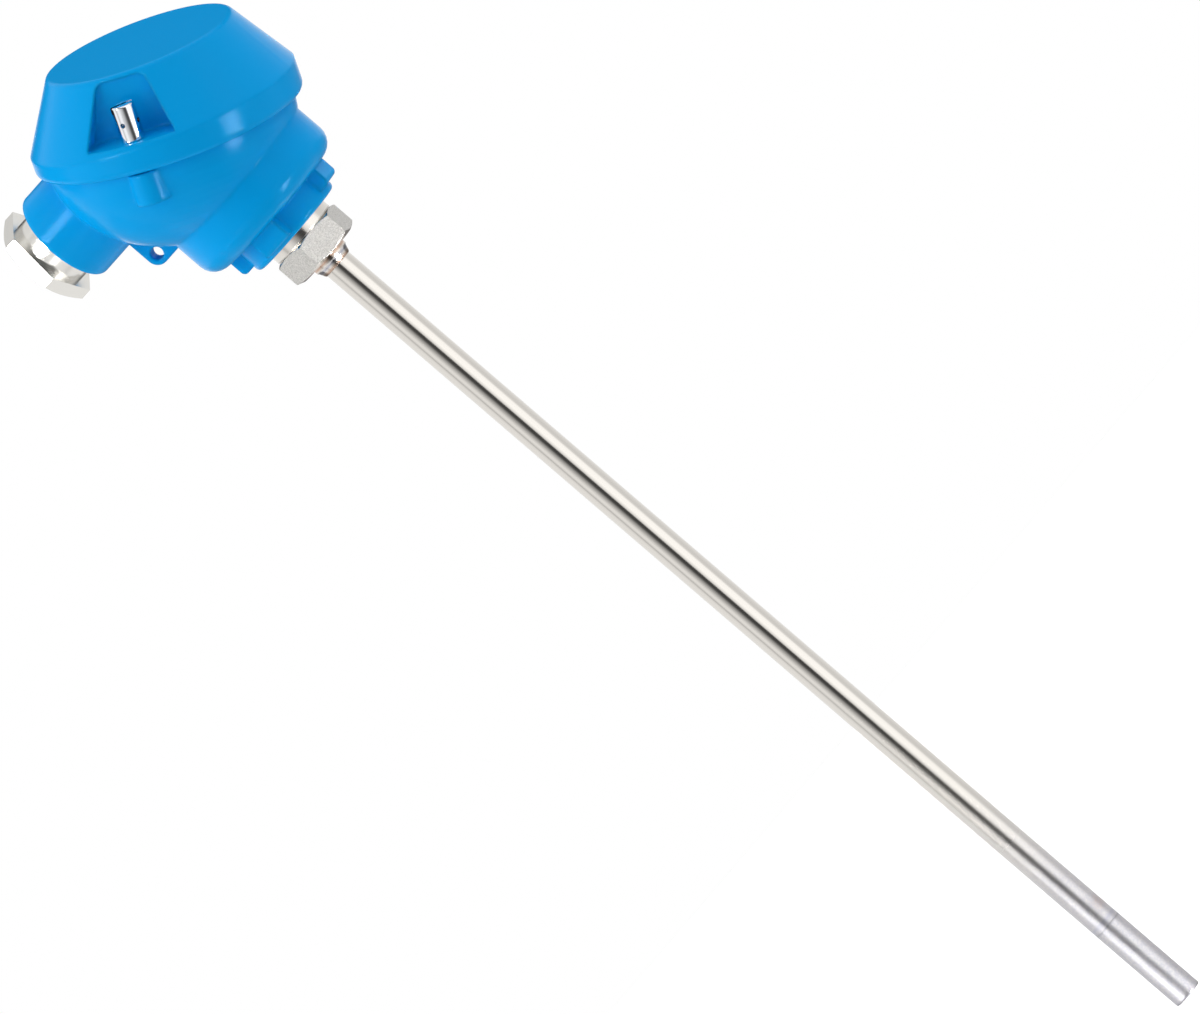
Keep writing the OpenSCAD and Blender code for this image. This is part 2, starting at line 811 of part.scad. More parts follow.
// A lead runs up the stem, bends over the block and goes through its terminal
module lead(i) color(brass) {
    run = terminal_r + pillar_w / 2 + 1 - lead_off - lead_bend_r;
    at_terminal(i)
        translate([lead_off, 0, 0]) {
            translate([0, 0, element_top_z])
                cylinder(h = lead_z - lead_bend_r - element_top_z, d = lead_d, $fn = 32);
            translate([lead_bend_r, 0, lead_z - lead_bend_r])
                rotate([90, 0, 180])
                    rotate_extrude(angle = 90, $fn = 48)
                        translate([lead_bend_r, 0])
                            rotate(-90)
                                circle(d = lead_d, $fn = 32);
            translate([lead_bend_r, 0, lead_z])
                rotate([0, 90, 0])
                    cylinder(h = run, d = lead_d, $fn = 32);
        }
}

// Insulating sleeve of a lead, from the seal to its terminal
module sleeve(i) {
    run = terminal_r - pillar_w / 2 - 0.5 - lead_off - lead_bend_r;
    inner_d = lead_d + 2 * slip;
    at_terminal(i)
        translate([lead_off, 0, 0]) {
            translate([0, 0, tube_top_z + slip])
                ring(sleeve_d, inner_d, lead_z - lead_bend_r - tube_top_z - slip);
            translate([lead_bend_r, 0, lead_z - lead_bend_r])
                rotate([90, 0, 180])
                    rotate_extrude(angle = 90, $fn = 48)
                        translate([lead_bend_r, 0])
                            difference() {
                                circle(d = sleeve_d, $fn = 32);
                                circle(d = inner_d, $fn = 32);
                            }
            translate([lead_bend_r, 0, lead_z])
                rotate([0, 90, 0])
                    ring(sleeve_d, inner_d, run);
        }
}

module red_sleeves() color("#c8352c") {
    sleeve(0);
    sleeve(1);
}

module white_sleeves() color("#eeeeea") {
    sleeve(2);
    sleeve(3);
}

module lead_holes(z, h) {
    for (i = [0:3])
        at_terminal(i)
            translate([lead_off, 0, z - cut])
                cylinder(h = h + 2 * cut, d = lead_d + 2 * slip, $fn = 32);
}

module lead_seal() color("#7d5a34") {
    difference() {
        translate([0, 0, tube_top_z - seal_l])
            cylinder(h = seal_l, d = stem_bore_d - 2 * slip);
        lead_holes(tube_top_z - seal_l, seal_l);
    }
}

module ceramic_beads() color(ceramic) {
    stack_z = element_top_z + bead_gap;
    bead_l = (tube_top_z - seal_l - stack_z) / beads - bead_gap;
    difference() {
        for (i = [0:beads - 1])
            translate([0, 0, stack_z + i * (bead_l + bead_gap)])
                cylinder(h = bead_l, d = bead_d);
        lead_holes(stack_z, tube_top_z - stack_z);
    }
}

module sensing_element() color(ceramic) {
    translate([0, 0, element_z])
        cylinder(h = element_l, d = element_d);
}

module tip_powder() color("#d8d8d8") {
    translate([0, 0, element_z])
        ring(stem_bore_d - 2 * slip, element_d + 2 * slip, element_l);
}

housing();
lid();
lid_gasket();
hinge_pin();
lid_screw();
entry_plug();
plug_seal();
neck_fitting();
stem_tube();
tip();
terminal_block();
terminal(0);  // terminal_1
terminal(1);  // terminal_2
terminal(2);  // terminal_3
terminal(3);  // terminal_4
terminal_screws();
block_screws();
block_washers();
earth_screw();
earth_washer();
lead(0);  // lead_1
lead(1);  // lead_2
lead(2);  // lead_3
lead(3);  // lead_4
red_sleeves();
white_sleeves();
lead_seal();
ceramic_beads();
sensing_element();
tip_powder();
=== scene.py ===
"""Finishes, small details and studio for a resistance thermometer with a connection head."""

import json
import math

import bpy
from mathutils import Matrix, Vector


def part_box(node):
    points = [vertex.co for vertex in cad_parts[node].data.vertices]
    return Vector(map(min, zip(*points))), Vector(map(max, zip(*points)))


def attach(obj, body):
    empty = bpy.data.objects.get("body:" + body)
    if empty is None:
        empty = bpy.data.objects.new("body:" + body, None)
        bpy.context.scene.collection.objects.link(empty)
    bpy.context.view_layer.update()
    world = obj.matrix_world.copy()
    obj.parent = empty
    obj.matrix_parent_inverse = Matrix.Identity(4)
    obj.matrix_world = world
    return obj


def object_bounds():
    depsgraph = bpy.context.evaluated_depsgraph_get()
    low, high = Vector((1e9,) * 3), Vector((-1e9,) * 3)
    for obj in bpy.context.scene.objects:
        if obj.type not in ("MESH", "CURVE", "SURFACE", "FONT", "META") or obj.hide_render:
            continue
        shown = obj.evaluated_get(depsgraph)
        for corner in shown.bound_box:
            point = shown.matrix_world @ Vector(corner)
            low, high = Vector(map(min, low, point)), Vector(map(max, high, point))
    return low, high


bl_info = {
    "name": "Connection Head Probe",
    "version": (1, 0, 0),
    "blender": (4, 5, 0),
    "location": "View3D > Sidebar > Probe",
    "description": "Finishes, details and studio for a resistance thermometer with a connection head",
    "category": "Add Mesh",
}

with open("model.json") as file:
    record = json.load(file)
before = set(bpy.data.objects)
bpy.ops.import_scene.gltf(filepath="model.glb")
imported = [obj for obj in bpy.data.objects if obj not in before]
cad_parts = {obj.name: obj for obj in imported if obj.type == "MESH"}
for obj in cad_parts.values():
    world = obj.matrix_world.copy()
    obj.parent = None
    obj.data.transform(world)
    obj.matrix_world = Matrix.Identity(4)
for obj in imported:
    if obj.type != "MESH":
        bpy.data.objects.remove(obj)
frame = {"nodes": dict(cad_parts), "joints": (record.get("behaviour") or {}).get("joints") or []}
CAD_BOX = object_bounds()

# A millimetre and a degree, in the scene's metres and radians
MM = 0.001
DEGREE = math.pi / 180

# The stem: the level at which its tip is welded on, the level of its end, and its radius
TIP_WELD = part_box("stem_tube")[0][2]
TIP_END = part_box("tip")[0][2]
STEM_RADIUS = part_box("stem_tube")[1][0]

# How far above the tip's weld the stem's cool tone, a painted bluish reflection, and its satin
# reach, and how wide the painted shade on the edge of the closed end is
COOL_REFLECTION_REACH = 60 * MM
SATIN_REACH = 110 * MM
SHADED_END_EDGE = 1.4 * MM

# The wires of the element, one to each terminal
WIRES = range(1, 5)


# ---------------------------------------------------------------- settings

class ProbeColours(bpy.types.PropertyGroup):
    """Colours of the finishes and the floor, as sRGB hex values"""
    enamel: bpy.props.StringProperty(
        name="Enamel", description="Blue stoving enamel on the castings", default="#0099DE")
    steel: bpy.props.StringProperty(
        name="Steel", description="Polished austenitic steel", default="#D5D1CB")
    # Also painted, mottled, up the stem from the tip, as a bluish reflection
    cool_steel: bpy.props.StringProperty(
        name="Cool steel", description="Steel that a weld has blued a little", default="#B3B3BD")
    milled: bpy.props.StringProperty(
        name="Milled steel", description="Light grains of the hexagon's flats",
        default="#D6D4D0")
    milled_dark: bpy.props.StringProperty(
        name="Milled steel, dark", description="Dark grains of the hexagon's flats",
        default="#A6A4A0")
    tint: bpy.props.StringProperty(
        name="Heat tint", description="Straw colour beside a weld", default="#BC9F8C")
    # Painted shade on the rounded edge of the tip's closed end
    end_edge_shade: bpy.props.StringProperty(
        name="Heat stain", description="Blue-grey oxide that a weld leaves", default="#77747F")
    nickel: bpy.props.StringProperty(
        name="Nickel", description="Satin nickel plate", default="#DAD8D3")
    chrome: bpy.props.StringProperty(
        name="Chrome", description="Bright chrome plate", default="#E4E6EA")
    brass: bpy.props.StringProperty(
        name="Brass", description="Turned brass of the terminals", default="#D2AC5A")
    ceramic: bpy.props.StringProperty(
        name="Steatite", description="Pressed and fired steatite", default="#EAE4D6")
    rubber: bpy.props.StringProperty(
        name="Rubber", description="Moulded nitrile of the gasket", default="#262627")
    fibre: bpy.props.StringProperty(
        name="Fibre", description="Vulcanised fibre of the plug's seal", default="#7A3426")
    red_sleeve: bpy.props.StringProperty(
        name="Red sleeve", description="Silicone sleeves of one lead pair", default="#B8352C")
    white_sleeve: bpy.props.StringProperty(
        name="White sleeve", description="Silicone sleeves of the other pair", default="#E4E2DC")
    resin: bpy.props.StringProperty(
        name="Resin", description="Poured resin at the top of the stem", default="#6E4A2A")
    magnesia: bpy.props.StringProperty(
        name="Magnesia", description="Packed powder in the tip", default="#D6D4CE")
    floor: bpy.props.StringProperty(
        name="Floor", description="Matt paint of the floor", default="#E6E6E6")


class ProbeStage(bpy.types.PropertyGroup):
    """Camera and studio"""
    azimuth: bpy.props.FloatProperty(
        name="Azimuth", description="Direction of the camera round the stem, from the front",
        default=math.radians(22.5), subtype="ANGLE")
    elevation: bpy.props.FloatProperty(
        name="Elevation", description="Height of the camera above the level",
        default=math.radians(3.05), subtype="ANGLE")
    roll: bpy.props.FloatProperty(
        name="Roll", description="Turn of the view, so that the probe lies across it",
        default=math.radians(49.34), subtype="ANGLE")
    distance: bpy.props.FloatProperty(
        name="Distance", description="From the lens to the stem's axis",
        default=12.0, unit="LENGTH")
    width: bpy.props.FloatProperty(
        name="Width", description="Width that the view covers at the stem's axis",
        default=0.348, unit="LENGTH")
    aim_right: bpy.props.FloatProperty(
        name="Aim right", description="Middle of the view, to the right of the stem's axis",
        default=-0.00396, unit="LENGTH")
    aim_up: bpy.props.FloatProperty(
        name="Aim up", description="Middle of the view, above the neck weld",
        default=-0.10359, unit="LENGTH")
    floor_gap: bpy.props.FloatProperty(
        name="Floor gap", description="From the tip down to the floor",
        default=0.06, unit="LENGTH")
    fill: bpy.props.FloatProperty(
        name="Fill", description="Brightness of the room for matt surfaces", default=0.54)


class ProbeThread(bpy.types.PropertyGroup):
    """Thread of the lid screw, M4"""
    diameter: bpy.props.FloatProperty(
        name="Diameter", description="Diameter of the shank", default=0.0039, unit="LENGTH")
    ridge: bpy.props.FloatProperty(
        name="Ridge", description="Size of the ridge's section", default=0.0003, unit="LENGTH")
    pitch: bpy.props.FloatProperty(
        name="Pitch", description="Distance from turn to turn", default=0.0007, unit="LENGTH")
    turns: bpy.props.IntProperty(
        name="Turns", description="Number of turns", default=6)
    start: bpy.props.FloatProperty(
        name="Start", description="Height of the first turn from the joint's point",
        default=-0.0079, unit="LENGTH")


# ---------------------------------------------------------------- helpers

def colours():
    """The colours that the scene is set to"""
    return bpy.context.scene.probe_colours


def linear(hex_colour):
    """Turn an sRGB hex value into the linear colour that a shader takes"""
    channels = [int(hex_colour[i:i + 2], 16) / 255 for i in (1, 3, 5)]
    return tuple(c / 12.92 if c <= 0.04045 else ((c + 0.055) / 1.055) ** 2.4
                 for c in channels) + (1.0,)


def join(tree, source, socket):
    """Link an output, or a node's first output, to a socket"""
    tree.links.new(source.outputs[0] if isinstance(source, bpy.types.Node) else source, socket)


def add(tree, kind, settings=None, **links):
    """Add a node, set its properties and sockets, and link what is given. A socket is named,
    or goes by its number: 2 in the settings, _2 among the links"""
    node = tree.nodes.new(kind)
    for name, value in (settings or {}).items():
        if isinstance(name, int) or name in node.inputs:
            node.inputs[name].default_value = value
        else:
            setattr(node, name, value)
    for name, source in links.items():
        socket = int(name[1:]) if name[1:].isdigit() else name.replace("_", " ")
        join(tree, source, node.inputs[socket])
    return node


def start(name, **shader):
    """Start a material, and return it with its tree and main shader"""
    material = bpy.data.materials.new(name)
    material.use_nodes = True
    tree = material.node_tree
    main = tree.nodes["Principled BSDF"]
    for socket, value in shader.items():
        main.inputs[socket.replace("_", " ")].default_value = value
    return material, tree, main


def dress(material, *nodes):
    """Put one material on CAD nodes"""
    for name in nodes:
        slots = frame["nodes"][name].data.materials
        slots.clear()
        slots.append(material)


def object_place(tree):
    """Places in metres, fixed to the piece, so that a pattern moves with it"""
    return add(tree, "ShaderNodeTexCoord").outputs["Object"]


def wavered_height(tree, place, size, reach):
    """Height above the object's origin, made uneven by noise: its cells are about size across
    and it adds up to about reach"""
    height = add(tree, "ShaderNodeSeparateXYZ", Vector=place).outputs["Z"]
    noise = add(tree, "ShaderNodeTexNoise", {"Scale": 1 / size, "Detail": 3.0}, Vector=place)
    return add(tree, "ShaderNodeMath", {"operation": "MULTIPLY_ADD", 1: reach},
               _0=noise, _2=height)


def grain(tree, place, size, rise, detail=2.0, normal=None):
    """Bump from noise whose cells are about size across and rise high, in metres"""
    noise = add(tree, "ShaderNodeTexNoise", {"Scale": 1 / size, "Detail": detail}, Vector=place)
    bump = add(tree, "ShaderNodeBump", {"Distance": rise, "Strength": 1.0}, Height=noise)
    if normal:
        join(tree, normal, bump.inputs["Normal"])
    return bump


def graded(tree, value, stops, zero=0.0, unit=1.0):
    """Colour or grey level that changes with a value. A stop is a measure from zero, counted
    in units, and the hex colour or level there"""
    first, last = stops[0][0], stops[-1][0]
    span = add(tree, "ShaderNodeMapRange", {"From Min": zero + first * unit,
                                            "From Max": zero + last * unit}, Value=value)
    ramp = add(tree, "ShaderNodeValToRGB", Fac=span)
    points = ramp.color_ramp.elements
    while len(points) < len(stops):
        points.new(0.5)
    for point, (measure, shade) in zip(points, stops):
        point.position = (measure - first) / (last - first)
        point.color = linear(shade) if isinstance(shade, str) else (shade, shade, shade, 1)
    return ramp


# ---------------------------------------------------------------- finishes

def stoved_enamel():
    """Blue enamel, sprayed and stoved on die-cast aluminium: glossy, with a slight orange peel
    and soft edges where the paint has drawn over them"""
    material, tree, main = start("stoved_enamel", Base_Color=linear(colours().enamel),
                                 Roughness=0.2, Specular_IOR_Level=0.055)
    place = object_place(tree)
    edges = add(tree, "ShaderNodeBevel", {"Radius": 1.6 * MM, "samples": 8})
    peel = grain(tree, place, 1.8 * MM, 0.012 * MM, normal=edges)
    fine_peel = grain(tree, place, 0.5 * MM, 0.004 * MM, normal=peel)
    join(tree, fine_peel, main.inputs["Normal"])
    return material


def tip_weld_marks(tree, place, height):
    """Colour of the stem round the tip's weld: a thin dull ring, a cool one just above it, and
    a straw patch on one side"""
    tone = colours()
    rings = graded(tree, height, [
        (-12, tone.steel), (-0.36, tone.steel), (0.24, tone.milled_dark), (0.84, tone.steel),
        (2.16, tone.cool_steel), (2.88, tone.steel), (12, tone.steel)], TIP_WELD, MM)
    band = graded(tree, height, [
        (-12, 0.0), (3.84, 0.0), (6, 0.6), (7.68, 0.6), (10.08, 0.0), (12, 0.0)], TIP_WELD, MM)
    outward = add(tree, "ShaderNodeSeparateXYZ", Vector=place).outputs["X"]
    side = add(tree, "ShaderNodeMapRange", {"From Min": 0.45 * STEM_RADIUS,
                                            "From Max": 0.9 * STEM_RADIUS}, Value=outward)
    straw = add(tree, "ShaderNodeMath", {"operation": "MULTIPLY"}, _0=band, _1=side)
    return add(tree, "ShaderNodeMix", {"data_type": "RGBA", 7: linear(tone.tint)},
               _0=straw, _6=rings).outputs[2]


def cool_reflection_share(tree, place, height):
    """How much of the steel's colour is the cool one, which is a painted bluish reflection: mottled
    all round, strongest at the end of the tip, and fading out up the stem"""
    fade = graded(tree, height, [(0, 0.9), (0.3, 0.85), (0.55, 0.7), (0.75, 0.25), (1, 0.0)],
                  TIP_END, TIP_WELD + COOL_REFLECTION_REACH - TIP_END)
    blotches = add(tree, "ShaderNodeTexNoise", {"Scale": 1 / (0.7 * MM), "Detail": 6.0,
                                                "Roughness": 0.75}, Vector=place)
    mottle = add(tree, "ShaderNodeMapRange", {"From Min": 0.35, "From Max": 0.6,
                                              "To Min": 0.4, "To Max": 1.0}, Value=blotches)
    return add(tree, "ShaderNodeMath", {"operation": "MULTIPLY"}, _0=fade, _1=mottle)


def drawn_steel():
    """Austenitic tube, drawn and polished: mirror bands along it, with faint draw lines. It
    turns satin towards the tip, which was welded on and brushed over; a cooler colour painted
    there is a bluish reflection, and the darker edge of the closed end is painted shade. The draw
    lines are coarser than real ones, so that they show"""
    tone = colours()
    material, tree, main = start("drawn_steel", Metallic=1.0)
    place = object_place(tree)
    height = wavered_height(tree, place, 1.5 * MM, 0.8 * MM)
    # Painted reflection: the cool tone stands in for the bluish reflection of the satin steel near
    # the tip
    toned = add(tree, "ShaderNodeMix", {"data_type": "RGBA", 7: linear(tone.cool_steel)},
                _0=cool_reflection_share(tree, place, height), _6=tip_weld_marks(tree, place, height))
    # Painted shade: the rounded edge of the closed end is darkened
    edge = add(tree, "ShaderNodeMapRange", {
        "From Min": TIP_END, "From Max": TIP_END + SHADED_END_EDGE, "To Min": 0.6, "To Max": 0.0},
        Value=height)
    edge_shaded = add(tree, "ShaderNodeMix", {"data_type": "RGBA", 7: linear(tone.end_edge_shade)},
                  _0=edge, _6=toned.outputs[2])
    join(tree, edge_shaded.outputs[2], main.inputs["Base Color"])
    satin = add(tree, "ShaderNodeMapRange", {
        "From Min": TIP_END, "From Max": TIP_WELD + SATIN_REACH, "To Min": 0.42, "To Max": 0.12},
        Value=height)
    join(tree, satin, main.inputs["Roughness"])
    stretched = add(tree, "ShaderNodeMapping", {"Scale": (1, 1, 0.02)}, Vector=place)
    lines = grain(tree, stretched, 0.35 * MM, 0.0008 * MM, detail=4)
    brushed = grain(tree, place, 0.6 * MM, 0.003 * MM, normal=lines)
    join(tree, brushed, main.inputs["Normal"])
    return material


def hexagon_flats(tree, height):
    """1 on the upright flats of the neck's hexagon, 0 elsewhere on the neck"""
    middle, half_height, lean = 8.5 * MM, 4.7 * MM, 0.3
    facing = add(tree, "ShaderNodeNewGeometry").outputs["Normal"]
    rise = add(tree, "ShaderNodeSeparateXYZ", Vector=facing).outputs["Z"]
    upright = add(tree, "ShaderNodeMath", {"operation": "COMPARE", 1: 0.0, 2: lean}, _0=rise)
    level = add(tree, "ShaderNodeMath", {"operation": "COMPARE", 1: middle, 2: half_height},
                _0=height)
    return add(tree, "ShaderNodeMath", {"operation": "MULTIPLY"}, _0=upright, _1=level)


def turned_steel():
    """Bar stock turned to shape: bright on the relief and the collar, straw tinted and dull at the
    weld, whose darker grey is partly the weld's own and partly painted shade that dims a highlight,
    and grained and matt on the flats of the hexagon. The grain is coarser than a real one, so that
    it shows"""
    tone = colours()
    material, tree, main = start("turned_steel", Metallic=1.0)
    place = object_place(tree)
    height = add(tree, "ShaderNodeSeparateXYZ", Vector=place).outputs["Z"]
    flats = hexagon_flats(tree, height)
    # The straw and cool rings are heat tints; the darker grey of the weld fillet at the foot is
    # partly the weld's own and partly painted shade
    weld_tints_and_shade = graded(tree, wavered_height(tree, place, 0.8 * MM, 0.5 * MM), [
        (-2, tone.milled_dark), (-0.24, tone.milled_dark), (0.72, tone.tint), (1.52, tone.steel),
        (2, tone.cool_steel), (2.8, tone.steel), (3.6, tone.tint), (4.8, tone.steel),
        (6, tone.steel)], unit=MM)
    specks = add(tree, "ShaderNodeTexNoise", {"Scale": 1 / (0.35 * MM), "Detail": 4.0},
                 Vector=place)
    milled = graded(tree, specks, [(0.3, tone.milled_dark), (0.7, tone.milled)])
    mixed = add(tree, "ShaderNodeMix", {"data_type": "RGBA"}, _0=flats, _6=weld_tints_and_shade, _7=milled)
    join(tree, mixed.outputs[2], main.inputs["Base Color"])
    grained = add(tree, "ShaderNodeMapRange", {"To Min": 0.12, "To Max": 0.36}, Value=flats)
    dulled = add(tree, "ShaderNodeMapRange", {"From Min": 0, "From Max": 2 * MM,
                                              "To Min": 0.3, "To Max": 0.12}, Value=height)
    rough = add(tree, "ShaderNodeMath", {"operation": "MAXIMUM"}, _0=grained, _1=dulled)
    join(tree, rough, main.inputs["Roughness"])
    eased = add(tree, "ShaderNodeBevel", {"Radius": 0.45 * MM})
    ripples = grain(tree, place, 1.4 * MM, 0.012 * MM, normal=eased)
    pits = grain(tree, place, 0.3 * MM, 0.006 * MM, normal=ripples)
    join(tree, pits, main.inputs["Normal"])
    return material


def plain_finish(name, colour, roughness, size, rise, metallic=0.0):
    """One colour and one sheen, with a grain whose cells are size across and rise high"""
    material, tree, main = start(name, Base_Color=linear(colour), Metallic=metallic,
                                 Roughness=roughness)
    join(tree, grain(tree, object_place(tree), size, rise), main.inputs["Normal"])
    return material


def plain_metal(*finish):
    """A plated, ground or turned metal with a fine grain"""
    return plain_finish(*finish, metallic=1.0)


# ---------------------------------------------------------------- operators

class PROBE_OT_castings(bpy.types.Operator):
    """Coat the housing and the lid"""
    bl_idname = "probe.castings"
    bl_label = "Castings"

    def execute(self, context):
        dress(stoved_enamel(), "housing", "lid")
        return {"FINISHED"}


class PROBE_OT_steelwork(bpy.types.Operator):
    """Finish the stem, its tip, the neck fitting and the hinge pin"""
    bl_idname = "probe.steelwork"
    bl_label = "Steelwork"

    def execute(self, context):
        dress(drawn_steel(), "stem_tube", "tip")
        dress(turned_steel(), "neck_fitting")
        # Ground between wheels: an even, fairly bright sheen
        dress(plain_metal("ground_pin", colours().steel, 0.2, 0.3 * MM, 0.002 * MM), "hinge_pin")
        return {"FINISHED"}


class PROBE_OT_plating(bpy.types.Operator):
    """Plate the lid screw, the plug and the small screws"""
    bl_idname = "probe.plating"
    bl_label = "Plated parts"

    def execute(self, context):
        # Polished and then plated: a mirror with hardly any grain
        dress(plain_metal("bright_chrome", colours().chrome, 0.05, 0.6 * MM, 0.001 * MM),
              "lid_screw")
        # Plated over a machined surface: a soft shine that blurs what it reflects
        dress(plain_metal("satin_nickel", colours().nickel, 0.22, 0.4 * MM, 0.003 * MM),
              "entry_plug", "terminal_screws", "block_screws", "block_washers", "earth_screw",
              *(f"lead_{wire}" for wire in WIRES))
        return {"FINISHED"}


class PROBE_OT_insides(bpy.types.Operator):
    """Finish what the head and the stem hold"""
    bl_idname = "probe.insides"
    bl_label = "Insides"

    def execute(self, context):
        tone = colours()
        # Left as it came off the lathe: warm and bright, with a fine tool grain
        dress(plain_metal("turned_brass", tone.brass, 0.25, 0.3 * MM, 0.003 * MM),
              *(f"terminal_{wire}" for wire in WIRES), "earth_washer")
        # Pressed and fired without a glaze: pale and dull, like stoneware
        dress(plain_finish("fired_steatite", tone.ceramic, 0.55, 0.3 * MM, 0.01 * MM),
              "terminal_block", "ceramic_beads", "sensing_element")
        # Moulded rubber: nearly black, with a dull skin
        dress(plain_finish("moulded_nitrile", tone.rubber, 0.6, 0.4 * MM, 0.01 * MM),
              "lid_gasket")
        # Pressed paper stock: red-brown, with a slightly rough face
        dress(plain_finish("vulcanised_fibre", tone.fibre, 0.65, 0.5 * MM, 0.02 * MM),
              "plug_seal")
        # Extruded sleeves: smooth, with a soft sheen
        for name, colour in (("red", tone.red_sleeve), ("white", tone.white_sleeve)):
            dress(plain_finish(f"{name}_silicone", colour, 0.5, 0.3 * MM, 0.01 * MM),
                  f"{name}_sleeves")
        # Poured and set in place: brown and glossy, with a slow ripple
        dress(plain_finish("poured_resin", tone.resin, 0.25, 2 * MM, 0.02 * MM), "lead_seal")
        # Packed powder: chalky, with no shine
        dress(plain_finish("packed_magnesia", tone.magnesia, 0.9, 0.2 * MM, 0.03 * MM),
              "tip_powder")
        return {"FINISHED"}


# Flats that one turn of the thread is made of
FLATS_PER_TURN = 36


class PROBE_OT_screw_thread(bpy.types.Operator):
    """Wind a thread's ridge round the lid screw's shank"""
    bl_idname = "probe.screw_thread"
    bl_label = "Lid screw's thread"

    def execute(self, context):
        sizes = context.scene.probe_thread
        joint = next(item for item in frame["joints"] if item["name"] == "lid_screw_turn")
        # A triangle on the shank's side, wound up round the Z axis
        bpy.ops.object.select_all(action="DESELECT")
        bpy.ops.mesh.primitive_circle_add(
            vertices=3, radius=sizes.ridge, rotation=(math.pi / 2, 0, 0),
            location=(sizes.diameter / 2, 0, 0))
        thread = context.object
        thread.name = "lid_screw_thread"
        bpy.ops.object.transform_apply(location=True, rotation=True, scale=True)
        turns = thread.modifiers.new("turns", "SCREW")
        turns.axis = "Z"
        turns.screw_offset = sizes.pitch
        turns.iterations = sizes.turns
        turns.steps = turns.render_steps = FLATS_PER_TURN
        bpy.ops.object.modifier_apply(modifier=turns.name)
        # From the Z axis to the screw's own
        axis = Vector(joint["axis"])
        foot = Vector(joint["pos_m"]) + axis * sizes.start
        thread.data.transform(Matrix.Translation(foot)
                              @ axis.to_track_quat("Z", "Y").to_matrix().to_4x4())
        # Close both ends
        bpy.ops.object.mode_set(mode="EDIT")
        bpy.ops.mesh.select_all(action="SELECT")
        bpy.ops.mesh.edge_face_add()
        bpy.ops.mesh.normals_make_consistent(inside=False)
        bpy.ops.object.mode_set(mode="OBJECT")
        thread.data.materials.append(frame["nodes"]["lid_screw"].data.materials[0])
        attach(thread, "lid_screw")
        return {"FINISHED"}


# ---------------------------------------------------------------- stage

def view_axes(azimuth, elevation):
    """Right, up and back directions of a level camera that looks at the stem's axis from an
    azimuth and elevation, in radians"""
    right = Vector((math.cos(azimuth), math.sin(azimuth), 0))
    back = Vector((math.sin(azimuth) * math.cos(elevation),
                   -math.cos(azimuth) * math.cos(elevation), math.sin(elevation)))
    return right, back.cross(right), back


def place_camera(stage):
    """Aim a long lens at the probe and roll it"""
    right, up, back = view_axes(stage.azimuth, stage.elevation)
    data = bpy.data.cameras.new("camera")
    data.sensor_width = 36
    data.lens = data.sensor_width * stage.distance / stage.width
    data.clip_end = 100
    camera = bpy.data.objects.new("camera", data)
    bpy.context.collection.objects.link(camera)
    turn = Matrix.Rotation(-stage.roll, 3, back)
    camera.matrix_world = Matrix.Translation(
        right * stage.aim_right + up * stage.aim_up + back * stage.distance
    ) @ Matrix((turn @ right, turn @ up, back)).transposed().to_4x4()
    bpy.context.scene.camera = camera


# Square soft lamps: (name, degrees from the camera, degrees up, radiance). They face a point
# inside the head, LAMP_AIM above the origin, from LAMP_DISTANCE away, and from that point they
# look LAMP_SPAN degrees wide
LAMPS = [("key_lamp", -82, 30, 1.9), ("right_lamp", 84, 30, 1.1)]
LAMP_SPAN = 60
LAMP_DISTANCE = 1.6
LAMP_AIM = 45 * MM


def add_lamp(name, azimuth, elevation, radiance):
    """A soft lamp that faces the head, for matt surfaces only"""
    back = view_axes(azimuth, elevation)[2]
    data = bpy.data.lights.new(name, "AREA")
    data.shape = "RECTANGLE"
    data.size = data.size_y = 2 * LAMP_DISTANCE * math.tan(LAMP_SPAN * DEGREE / 2)
    data.energy = radiance * math.pi * data.size * data.size_y
    lamp = bpy.data.objects.new(name, data)
    bpy.context.collection.objects.link(lamp)
    place = Vector((0, 0, LAMP_AIM)) + back * LAMP_DISTANCE
    turn = back.to_track_quat("Z", "Y").to_matrix().to_4x4()
    lamp.matrix_world = Matrix.Translation(place) @ turn
    lamp.visible_camera = False
    lamp.visible_glossy = False


# What polished metal sees round it at its own level, from straight behind it on the left to
# behind it on the right: (degrees from the camera, brightness)
ROOM = [(-180, 1.05), (-100, 1.12), (-84, 1.0), (-77, 0.64), (-68, 1.0), (-56, 1.15),
        (-44, 0.95), (-30, 0.6), (-21, 0.4), (-12, 0.13), (-4, 0.07), (6, 0.07), (10, 0.2),
        (14, 0.95), (20, 1.15), (34, 1.5), (66, 1.45), (80, 0.95), (97, 0.9), (122, 1.0),
        (180, 1.05)]

# How much of that brightness the room keeps above and below, further round than BEHIND:
# (degrees up, share)
HEIGHTS = [(-90, 1.0), (-42, 1.0), (-34, 0.25), (-14, 0.25), (-8, 1.0), (7, 1.0), (11, 0.03),
           (26, 0.03), (34, 0.9), (90, 0.9)]
BEHIND = 110

# Softboxes that only reflections see: (degrees from the camera, degrees up, half the width,
# half the height, brightness)
SOFTBOXES = [(-47, 25, 18, 8, 34), (40, -43, 9, 11, 40), (-62, -22, 24, 8, 1.4)]

# How much brighter than its middle the even room is overhead, and how much darker below
OVERHEAD = 0.3

FLOOR_RADIUS = 3.0
# What the camera sees the floor give off, so that it matches the white surround
FLOOR_LIFT = 0.6


